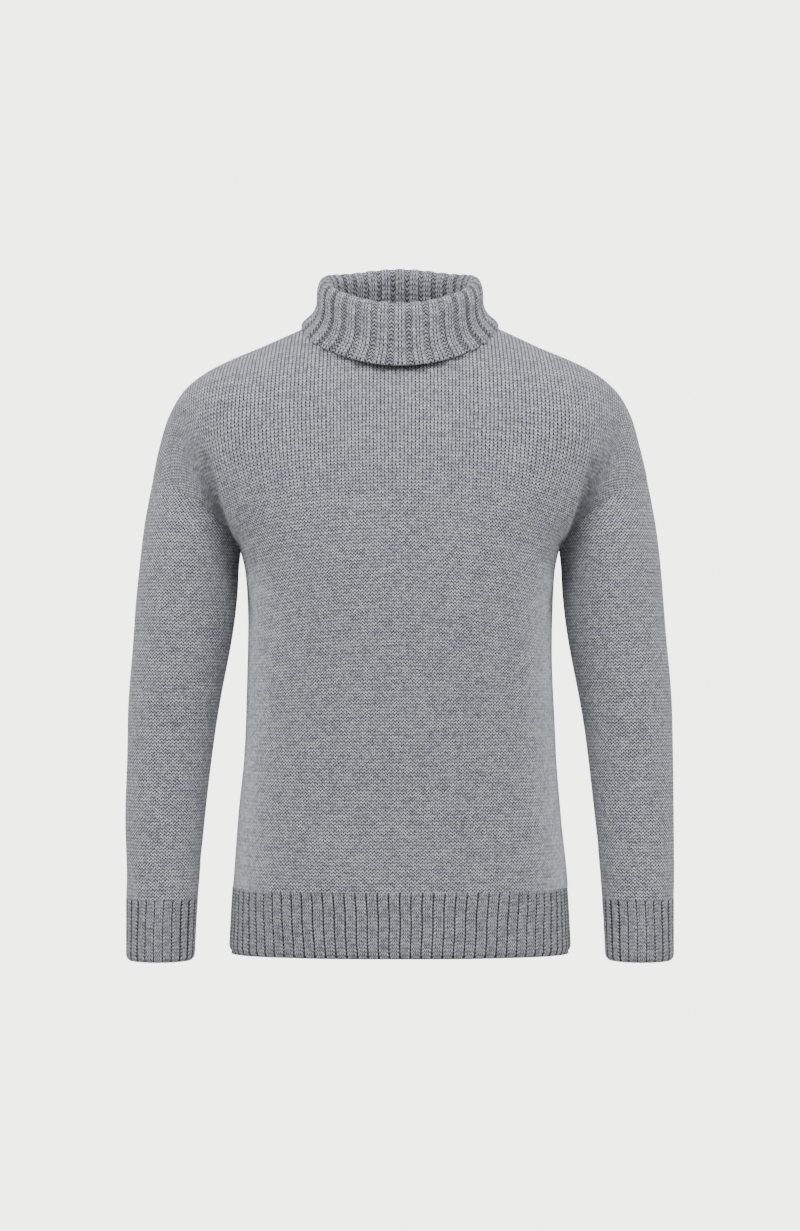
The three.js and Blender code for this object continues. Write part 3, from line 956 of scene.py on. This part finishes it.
@dataclass
class RollCollar:
    """The collar: stand, fold and turned-over layer in one sheet of rib.

    The grooves' painted shade goes from painted_groove_shade at the front to the darker
    side_painted_groove_shade at the sides.
    fold_ring is the row of COLLAR_RINGS at the top of the roll, and fold_flatness how much flatter
    the ribs lie there. back_droop and corner_drop lower the roll's and the edge's corners.
    """

    name: str = "roll_collar"
    node: str = "collar"
    columns: int = 540
    rows: int = 84
    repeats: int = 30
    ribbing: Ribbing = Ribbing(band=0.54, edge=0.14, depth=3.0, plain=3)
    painted_groove_shade: float = 0.6
    side_painted_groove_shade: float = 0.35
    fold_ring: int = 5
    fold_reach: float = 13.0
    fold_flatness: float = 0.7
    back_droop: float = 4.0
    corner_drop: tuple[float, float] = (2.0, 5.5)
    corner_reach: float = 28.0
    foot_reach: float = 10.0
    edge_spread: float = 0.35
    edge_reach: float = 7.0
    flat: tuple[float, float] = (0.53, 0.165)
    flat_area: float | None = None

    def foot(self, turn: np.ndarray) -> np.ndarray:
        """The neckline, read at the angle that each column of the collar has round its oval."""
        steps = 60
        quarter = NECK_SHARE * np.sin(np.linspace(0, QUARTER_TURN, steps + 1))
        loop = []
        for side, direction in ((FRONT, 1), (BACK, -1)):
            end = FORM.neck_rise(side, quarter)
            end[-1] = 1.0
            line = FORM.yoke(side, quarter, end)[::direction]
            loop.append(line)
        half = np.concatenate([loop[0][:-1], loop[1]])
        angle = np.arctan2(half[:, 0] / NECK_HALF_WIDTH, -half[:, 1] / NECK_HALF_DEPTH)
        x, y, z = (np.interp(np.abs(turn), angle, half[:, i]) for i in range(3))
        return points_of(np.where(turn < 0, -x, x), y, z)

    def sheet(self, turn: np.ndarray) -> tuple[np.ndarray, np.ndarray, float]:
        """The smooth collar, a little lower at its front and back corners.

        Args:
            turn: angle of each column, 0 at the front.

        Returns:
            Its points, how far each row is from the neckline, and how far the fold is.
        """
        cos, sin = np.cos(turn), np.sin(turn)
        rings = [self.foot(turn)]
        for half_width, half_depth, centre, front, side, back in COLLAR_RINGS:
            tilt = (front - back) / 2
            sag = (front + back) / 2 - side
            height = side + tilt * cos + sag * cos**2
            height = height - self.back_droop * np.sin(2 * turn) ** 2 * (cos < 0)
            rings.append(points_of(half_width * sin, centre - half_depth * cos, height))
        rings = np.array(rings)
        steps = np.linalg.norm(np.diff(rings, axis=0), axis=-1).mean(axis=1)
        keys = np.concatenate([[0], np.cumsum(steps)])
        at = np.linspace(0, keys[-1], self.rows + 1)
        points = np.empty((len(at), len(turn), 3))
        for column, axis in np.ndindex(len(turn), 3):
            points[:, column, axis] = Curve(keys, rings[:, column, axis])(at)
        fall = keys[-1] - at[:, None]
        drop = mix(*self.corner_drop, smooth_step(0, 0.45, cos))
        points[..., 2] -= drop * sin**2 * smooth_step(self.corner_reach, 0, fall)
        return points, at, keys[self.fold_ring]

    def shape(self) -> ClothGrid:
        """The collar with its ribs, which lie flatter over the fold and spread at the lower edge."""
        turn = np.linspace(math.pi, -math.pi, self.columns + 1)
        points, at, fold = self.sheet(turn)
        sin = np.sin(turn)
        phase = np.broadcast_to(self.repeats * turn / (2 * math.pi), points.shape[:2])
        length = np.broadcast_to(at[:, None], points.shape[:2])
        fall = at[-1] - length
        start = smooth_step(0, self.foot_reach, length)
        rise = mix(1, self.ribbing.height(phase), start)
        # The grooves' painted shade: the lower this value, the darker the groove is painted, darkest at
        # the sides.
        lowest = mix(self.painted_groove_shade, self.side_painted_groove_shade, smooth_step(0.45, 0.9, np.abs(sin)))
        draw = np.full_like(rise, COLLAR_DRAW)
        wales = self.ribbing.wales(phase)
        grid = ClothGrid(points, wales, length / COURSE, mix(lowest, 1, rise), draw, closed=True)
        over_fold = 1 - self.fold_flatness * np.exp(-(((length - fold) / self.fold_reach) ** 2))
        spread = 1 + self.edge_spread * np.exp(-((fall / self.edge_reach) ** 2))
        middle = mix(0.2, 0.6, smooth_step(0, 22, fall))
        side = sin**4
        flat_side = 1 - 0.5 * side * smooth_step(20, 0, fall)
        rolled = rolled_edge(fall, 4, 1.5) * (1 - side) + rolled_edge(fall, 9, 3.5) * side
        relief = self.ribbing.depth * (rise - middle) * over_fold * spread
        grid.push(relief * flat_side * start - rolled)
        return grid


# ------------------------------------------------------------------ finishes


class Stitch(Enum):
    """How a face of the cloth is knitted."""

    PLAIN = "plain"
    REVERSE = "reverse"


class Wiring:
    """Adds nodes to one node tree and joins them."""

    def __init__(self, tree: bpy.types.NodeTree) -> None:
        """Starts on an empty tree."""
        self.tree = tree
        tree.nodes.clear()

    def node(self, kind: str, **settings: object) -> bpy.types.Node:
        """Adds a node and sets its properties."""
        made = self.tree.nodes.new(kind)
        for name, value in settings.items():
            setattr(made, name, value)
        return made

    def feed(self, socket: bpy.types.NodeSocket, value: Feed) -> None:
        """Joins an output to a socket, or sets the socket's own value."""
        if isinstance(value, bpy.types.NodeSocket):
            self.tree.links.new(value, socket)
        else:
            socket.default_value = value

    def math(self, operation: str, *values: Feed, clamp: bool = False) -> bpy.types.NodeSocket:
        """A Math node on sockets or numbers."""
        made = self.node("ShaderNodeMath", operation=operation, use_clamp=clamp)
        for socket, value in zip(made.inputs, values):
            self.feed(socket, value)
        return made.outputs[0]

    def vector(self, x: Feed, y: Feed, z: float) -> bpy.types.NodeSocket:
        """Joins three numbers into a vector."""
        made = self.node("ShaderNodeCombineXYZ")
        for socket, value in zip(made.inputs, (x, y, z)):
            self.feed(socket, value)
        return made.outputs[0]

    def split(self, vector: bpy.types.NodeSocket) -> tuple[bpy.types.NodeSocket, ...]:
        """The three numbers of a vector."""
        made = self.node("ShaderNodeSeparateXYZ")
        self.feed(made.inputs[0], vector)
        return tuple(made.outputs)

    def triangle(self, value: Feed) -> bpy.types.NodeSocket:
        """A zigzag that is 1 at whole numbers and 0 halfway between them."""
        middle = self.math("SUBTRACT", self.math("FRACT", value), 0.5)
        return self.math("MULTIPLY", self.math("ABSOLUTE", middle), 2.0)

    def centred(self, value: Feed, size: float) -> bpy.types.NodeSocket:
        """A value from 0 to 1 moved to lie round 0, as wide as size."""
        return self.math("MULTIPLY", self.math("SUBTRACT", value, 0.5), size)

    def noise(
        self, place: Feed, scale: float, detail: float, roughness: float = 0.5
    ) -> bpy.types.NodeSocket:
        """Noise from 0 to 1.

        Args:
            place: where it is read.
            scale: how fine it is.
            detail: how many finer layers it has.
            roughness: how strong those are.

        Returns:
            The noise at the place.
        """
        made = self.node("ShaderNodeTexNoise")
        self.feed(made.inputs["Vector"], place)
        made.inputs["Scale"].default_value = scale
        made.inputs["Detail"].default_value = detail
        made.inputs["Roughness"].default_value = roughness
        return made.outputs["Fac"]

    def blend(self, share: Feed, first: Feed, second: Feed) -> bpy.types.NodeSocket:
        """Mixes two colours."""
        made = self.node("ShaderNodeMix", data_type="RGBA")
        self.feed(made.inputs["Factor"], share)
        self.feed(made.inputs["A"], first)
        self.feed(made.inputs["B"], second)
        return made.outputs["Result"]

    def ramp(
        self, value: Feed, low: float, high: float, to_low: float = 0.0, to_high: float = 1.0
    ) -> bpy.types.NodeSocket:
        """A number moved softly from one range to another, and held at its ends.

        Args:
            value: the number.
            low, high: the range that it comes from.
            to_low, to_high: the range that it goes to.

        Returns:
            The moved number.
        """
        made = self.node("ShaderNodeMapRange", interpolation_type="SMOOTHSTEP")
        for socket, number in zip(made.inputs, (value, low, high, to_low, to_high)):
            self.feed(socket, number)
        return made.outputs[0]


def new_group(name: str, inputs: dict[str, str], outputs: tuple[str, ...]) -> bpy.types.NodeTree:
    """Makes an empty node group.

    Args:
        name: the group's name.
        inputs: the kind of each input, Vector or Float.
        outputs: the names of the outputs, which are numbers.

    Returns:
        The group with its sockets.
    """
    tree = bpy.data.node_groups.new(name, "ShaderNodeTree")
    for label, kind in inputs.items():
        tree.interface.new_socket(label, in_out="INPUT", socket_type=f"NodeSocket{kind}")
    for label in outputs:
        tree.interface.new_socket(label, in_out="OUTPUT", socket_type="NodeSocketFloat")
    return tree


def stitch_group() -> bpy.types.NodeTree:
    """Builds the group that draws stitches at a place in the knitting.

    Returns:
        A group with the inputs Place (wales, courses), Relief (how raised a rib is, and how wide
        the knitting is drawn) and Reverse (1 where the inner side shows), and the outputs Height,
        the yarn's relief, and Shade, the painted shade: 1 on the yarn, and 0 between the
        stitches and low in a rib's groove, where shade is painted into the colour.
    """
    inputs = {"Place": "Vector", "Relief": "Vector", "Reverse": "Float"}
    tree = new_group("KnitStitches", inputs, ("Height", "Shade"))
    w = Wiring(tree)
    given = w.node("NodeGroupInput").outputs
    sway = w.centred(w.noise(given["Place"], 0.4, 1.0), 0.35)
    wobble = w.centred(w.noise(given["Place"], 0.7, 1.0), 0.5)
    wale, course, _ = w.split(given["Place"])
    rise, draw, _ = w.split(given["Relief"])
    wale = w.math("ADD", wale, sway)
    course = w.math("ADD", course, wobble)

    # Plain side: two slanting legs to each wale. Painted shade, in dark dots, lies in the gaps in the
    # wale's middle and, half a course away, between the wales. Where the knitting is drawn, painted
    # shade also runs in lines down the wales; where draw is below 0, the dots are painted paler.
    off = w.triangle(wale)
    slant = w.math("SUBTRACT", course, w.math("MULTIPLY", off, 0.68))
    gap = w.math("SUBTRACT", 1.0, w.triangle(slant))
    ends = w.math("ABSOLUTE", w.math("SUBTRACT", w.math("MULTIPLY", off, 2.0), 1.0))
    dots = w.math("MULTIPLY", w.ramp(gap, 0.15, 0.85), w.ramp(ends, -0.3, 0.5))
    dots = w.math("MULTIPLY", dots, w.ramp(draw, 0.0, 1.0, 1.0, 0.7))
    dots = w.math("MULTIPLY", dots, w.ramp(draw, -1.0, 0.0, 0.35, 1.0))
    lines = w.math("MULTIPLY", w.ramp(off, 0.35, 1.0), w.ramp(draw, 0.0, 1.0, 0.0, 0.72))
    plain = w.math("SUBTRACT", 1.0, w.math("ADD", dots, lines), clamp=True)

    # Reverse side: short arches in rows, every other one half a stitch along.
    wave = w.math("COSINE", w.math("MULTIPLY", wale, 2 * math.pi))
    arch = w.math("MULTIPLY_ADD", wave, 0.25, course)
    reverse = w.ramp(w.triangle(arch), 0.1, 0.8)

    sunk = w.math("MAXIMUM", given["Reverse"], w.ramp(rise, 0.6, 0.85, 1.0, 0.0))
    height = w.math("MULTIPLY_ADD", w.math("SUBTRACT", reverse, plain), sunk, plain)
    out = w.node("NodeGroupOutput")
    w.feed(out.inputs["Height"], height)
    # Shade is the painted shade: dark between the stitches and, where rise is low, in a rib's groove.
    w.feed(out.inputs["Shade"], w.math("MULTIPLY", height, w.ramp(rise, 0.1, 0.85, 0.0, 1.0)))
    return tree


# How much of the yarn's variation is single fibres, whole stitches and lengths of yarn.
FIBRES = 0.5
FLECKS = 0.32
STREAKS = 0.18


def marl_group() -> bpy.types.NodeTree:
    """Builds the group that mixes the yarn's fibres.

    Returns:
        A group with the inputs Place (wales, courses) and Spot (a place in metres), and the
        outputs Fleck, for the lighter and darker stitches and fibres, and Patch, for short lengths
        of bluer yarn.
    """
    tree = new_group("MarlYarn", {"Place": "Vector", "Spot": "Vector"}, ("Fleck", "Patch"))
    w = Wiring(tree)
    given = w.node("NodeGroupInput").outputs
    wale, course, _ = w.split(given["Place"])
    fleck_place = w.vector(w.math("MULTIPLY", wale, 0.7), w.math("MULTIPLY", course, 1.2), 11.3)
    streak_place = w.vector(w.math("MULTIPLY", wale, 0.12), w.math("MULTIPLY", course, 0.8), 7.9)
    fibres = w.noise(given["Spot"], 270.0, 1.0, 0.6)
    flecks = w.noise(fleck_place, 1.0, 1.0, 0.6)
    streaks = w.noise(streak_place, 1.0, 2.0, 0.6)
    mixed = w.math("ADD", w.math("MULTIPLY", fibres, FIBRES), w.math("MULTIPLY", flecks, FLECKS))
    mixed = w.math("ADD", mixed, w.math("MULTIPLY", streaks, STREAKS))
    patch_place = w.vector(w.math("MULTIPLY", wale, 0.2), w.math("MULTIPLY", course, 0.42), 3.7)
    out = w.node("NodeGroupOutput")
    w.feed(out.inputs["Fleck"], mixed)
    w.feed(out.inputs["Patch"], w.noise(patch_place, 1.0, 3.0, 0.6))
    return tree


@dataclass(frozen=True)
class YarnFinish:
    """Grey marl yarn knitted one way, with the same yarn's inner side behind it."""

    name: str
    stitch: Stitch
    warm: tuple[float, float, float, float] = (0.645, 0.646, 0.695, 1.0)
    cool: tuple[float, float, float, float] = (0.572, 0.57, 0.675, 1.0)
    # shade is the colour of the painted shade between the stitches and in the ribs' grooves.
    shade: tuple[float, float, float, float] = (0.02, 0.02, 0.028, 1.0)
    patch_range: tuple[float, float] = (0.4, 0.62)
    fleck_range: tuple[float, float, float, float] = (0.38, 0.62, 0.55, 1.12)
    relief: float = 0.8
    roughness: float = 0.9
    sheen: float = 0.25
    sheen_roughness: float = 0.5
    specular: float = 0.2

    def material(self, stitches: bpy.types.NodeTree, marl: bpy.types.NodeTree) -> bpy.types.Material:
        """Builds the material.

        Args:
            stitches: the group that draws the stitches.
            marl: the group that mixes the yarn.

        Returns:
            The material.
        """
        made = bpy.data.materials.new(self.name)
        made.use_nodes = True
        w = Wiring(made.node_tree)
        place = w.node("ShaderNodeUVMap", uv_map="Knit").outputs[0]
        knit = w.node("ShaderNodeGroup", node_tree=stitches)
        w.feed(knit.inputs["Place"], place)
        w.feed(knit.inputs["Relief"], w.node("ShaderNodeUVMap", uv_map="Relief").outputs[0])
        knit.inputs["Reverse"].default_value = float(self.stitch is Stitch.REVERSE)
        yarn = w.node("ShaderNodeGroup", node_tree=marl)
        w.feed(yarn.inputs["Place"], place)
        w.feed(yarn.inputs["Spot"], w.node("ShaderNodeTexCoord").outputs["Object"])
        fibre = w.blend(w.ramp(yarn.outputs["Patch"], *self.patch_range), self.warm, self.cool)
        fleck = w.ramp(yarn.outputs["Fleck"], *self.fleck_range)
        # lit is the painted shade mask, 1 on the yarn and low between stitches and in grooves, times
        # the yarn's real flecks; the colour runs from the painted shade colour to the yarn's own.
        lit = w.math("MULTIPLY", knit.outputs["Shade"], fleck)
        colour = w.blend(lit, self.shade, fibre)
        surface = w.node("ShaderNodeBsdfPrincipled")
        surface.inputs["Roughness"].default_value = self.roughness
        surface.inputs["Sheen Weight"].default_value = self.sheen
        surface.inputs["Sheen Roughness"].default_value = self.sheen_roughness
        surface.inputs["Specular IOR Level"].default_value = self.specular
        w.feed(surface.inputs["Base Color"], colour)
        bump = w.node("ShaderNodeBump")
        bump.inputs["Strength"].default_value = 1.0
        bump.inputs["Distance"].default_value = self.relief * MM
        w.feed(bump.inputs["Height"], knit.outputs["Height"])
        w.feed(surface.inputs["Normal"], bump.outputs[0])
        out = w.node("ShaderNodeOutputMaterial")
        w.feed(out.inputs["Surface"], surface.outputs[0])
        return made


PLAIN_KNIT = YarnFinish("marl_plain_knit", Stitch.PLAIN)
REVERSE_KNIT = YarnFinish("marl_reverse_knit", Stitch.REVERSE)
RIB_KNIT = YarnFinish("marl_rib_knit", Stitch.PLAIN)


# ------------------------------------------------------------------ putting pieces in the scene


Piece = BodyPanel | HemRib | Sleeve | Cuff | RollCollar


@dataclass
class Wardrobe:
    """Makes the finished objects."""

    wall: float = 2.5
    crisp_edge: float = math.radians(60)
    bake_gap: float = 0.02
    materials: dict[str, bpy.types.Material] = field(default_factory=dict)

    def dye(self) -> None:
        """Makes the materials."""
        stitches, marl = stitch_group(), marl_group()
        for finish in (PLAIN_KNIT, REVERSE_KNIT, RIB_KNIT):
            self.materials[finish.name] = finish.material(stitches, marl)

    def hang(self, piece: Piece, slot: str) -> bpy.types.Object:
        """Args:
            piece: a cloth piece with its name, node, flat cut and shape().
            slot: jersey or rib, which picks the materials of the piece's two sides.

        Returns:
            The finished object.
        """
        mesh = piece.shape().mesh(piece.name)
        made = bpy.data.objects.new(piece.name, mesh)
        bpy.context.scene.collection.objects.link(made)
        plain = slot == "jersey"
        faces = (PLAIN_KNIT, REVERSE_KNIT) if plain else (RIB_KNIT, RIB_KNIT)
        for finish in faces:
            mesh.materials.append(self.materials[finish.name])
        self.thicken(made)
        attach(made, "root")
        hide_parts(piece.node)
        LOG.info("%s: %d faces", piece.name, len(made.data.polygons))
        return made

    def thicken(self, made: bpy.types.Object) -> None:
        """Gives a sheet its wall, with crisp rims, and its inner layer a half of the bake map."""
        wall = made.modifiers.new("wall", "SOLIDIFY")
        wall.thickness = self.wall * MM
        wall.offset = 0
        wall.material_offset = 1
        walled = made.evaluated_get(bpy.context.evaluated_depsgraph_get())
        mesh = bpy.data.meshes.new_from_object(walled)
        made.modifiers.clear()
        sheet, made.data = made.data, mesh
        bpy.data.meshes.remove(sheet)
        mesh.name = made.name
        mesh.set_sharp_from_angle(angle=self.crisp_edge)
        count = len(mesh.polygons)
        layer, corners = np.empty(count, np.int32), np.empty(count, np.int32)
        mesh.polygons.foreach_get("material_index", layer)
        mesh.polygons.foreach_get("loop_total", corners)
        bake = mesh.uv_layers["OFBake"].uv
        place = np.empty(len(mesh.loops) * 2, np.float32)
        bake.foreach_get("vector", place)
        place = place.reshape(-1, 2)
        step = 1 + self.bake_gap
        place[:, 0] = (place[:, 0] + np.repeat(layer, corners) * step) / (1 + step)
        bake.foreach_set("vector", place.ravel())


@dataclass
class Studio:
    """Plain pale floor, soft lights and the camera."""

    distance: float = 4.0
    view_height: float = 1.354
    view_middle: float = -0.316
    floor_height: float = -1.6
    floor_half_width: float = 3.0
    floor_colour: tuple[float, float, float, float] = (0.83, 0.84, 0.82, 1.0)
    backdrop: tuple[float, float, float, float] = (1.0, 1.01, 0.975, 1.0)
    backdrop_light: float = 0.35
    backdrop_seen: float = 4.4

    def build(self) -> None:
        """Makes everything round the garment."""
        self.floor()
        self.world()
        self.softbox("key_left", (-3.3, -1.7, 1.6), 1.6, 88)
        self.softbox("key_right", (3.3, -1.7, 1.6), 1.6, 88)
        self.softbox("top", (0, -1.3, 2.2), 1.6, 78)
        self.softbox("back_left", (-2.4, 3.2, 1.2), 2.0, 45)
        self.softbox("back_right", (2.4, 3.2, 1.2), 2.0, 45)
        self.camera()

    def floor(self) -> None:
        """The pale floor, well under the hanging garment."""
        bm = bmesh.new()
        bmesh.ops.create_circle(bm, cap_ends=True, segments=96, radius=self.floor_half_width)
        bmesh.ops.translate(bm, vec=(0, 0, self.floor_height), verts=bm.verts)
        mesh = bpy.data.meshes.new("floor")
        bm.to_mesh(mesh)
        bm.free()
        made = bpy.data.objects.new("floor", mesh)
        bpy.context.scene.collection.objects.link(made)
        paint = bpy.data.materials.new("pale_floor")
        paint.use_nodes = True
        surface = paint.node_tree.nodes["Principled BSDF"]
        surface.inputs["Base Color"].default_value = self.floor_colour
        surface.inputs["Roughness"].default_value = 0.9
        mesh.materials.append(paint)

    def world(self) -> None:
        """Soft light from all round, and a pale backdrop behind the garment."""
        world = bpy.data.worlds.new("studio")
        bpy.context.scene.world = world
        world.use_nodes = True
        w = Wiring(world.node_tree)
        soft = w.node("ShaderNodeBackground")
        soft.inputs["Color"].default_value = self.backdrop
        soft.inputs["Strength"].default_value = self.backdrop_light
        seen = w.node("ShaderNodeBackground")
        seen.inputs["Color"].default_value = self.backdrop
        seen.inputs["Strength"].default_value = self.backdrop_seen
        choice = w.node("ShaderNodeMixShader")
        w.feed(choice.inputs[0], w.node("ShaderNodeLightPath").outputs["Is Camera Ray"])
        w.feed(choice.inputs[1], soft.outputs[0])
        w.feed(choice.inputs[2], seen.outputs[0])
        w.feed(w.node("ShaderNodeOutputWorld").inputs["Surface"], choice.outputs[0])

    def softbox(self, name: str, place: tuple[float, float, float], size: float, power: float) -> None:
        """A square area light that faces the garment's middle.

        Args:
            name: the light's name.
            place: where it stands, in metres.
            size: length of its side.
            power: its power in watts.
        """
        light = bpy.data.lights.new(name, "AREA")
        light.size = size
        light.energy = power
        made = bpy.data.objects.new(name, light)
        made.location = place
        aim = Vector((0, 0, self.view_middle)) - Vector(place)
        made.rotation_euler = aim.to_track_quat("-Z", "Y").to_euler()
        bpy.context.scene.collection.objects.link(made)

    def camera(self) -> None:
        """A level camera in front of the garment."""
        data = bpy.data.cameras.new("camera")
        data.sensor_width = 36
        data.lens = data.sensor_width * self.distance / self.view_height
        made = bpy.data.objects.new("camera", data)
        made.location = (0, -self.distance, self.view_middle)
        made.rotation_euler = (QUARTER_TURN, 0, 0)
        bpy.context.scene.collection.objects.link(made)
        bpy.context.scene.camera = made


def main() -> None:
    """Builds the garment, then the studio."""
    logging.basicConfig(level=logging.INFO, format="%(name)s: %(message)s")
    wardrobe = Wardrobe()
    wardrobe.dye()
    wardrobe.hang(BodyPanel("front_panel", "body_front", FRONT), "jersey")
    wardrobe.hang(BodyPanel("back_panel", "body_back", BACK), "jersey")
    wardrobe.hang(HemRib("front_hem", "hem_rib_front", FRONT), "rib")
    wardrobe.hang(HemRib("back_hem", "hem_rib_back", BACK), "rib")
    for left, hand in ((True, "left"), (False, "right")):
        wardrobe.hang(Sleeve(f"{hand}_sleeve", f"sleeve_{hand}", left), "jersey")
        wardrobe.hang(Cuff(f"{hand}_cuff", f"cuff_{hand}", left), "rib")
    wardrobe.hang(RollCollar(), "rib")
    Studio().build()


if __name__ == "__main__":
    main()
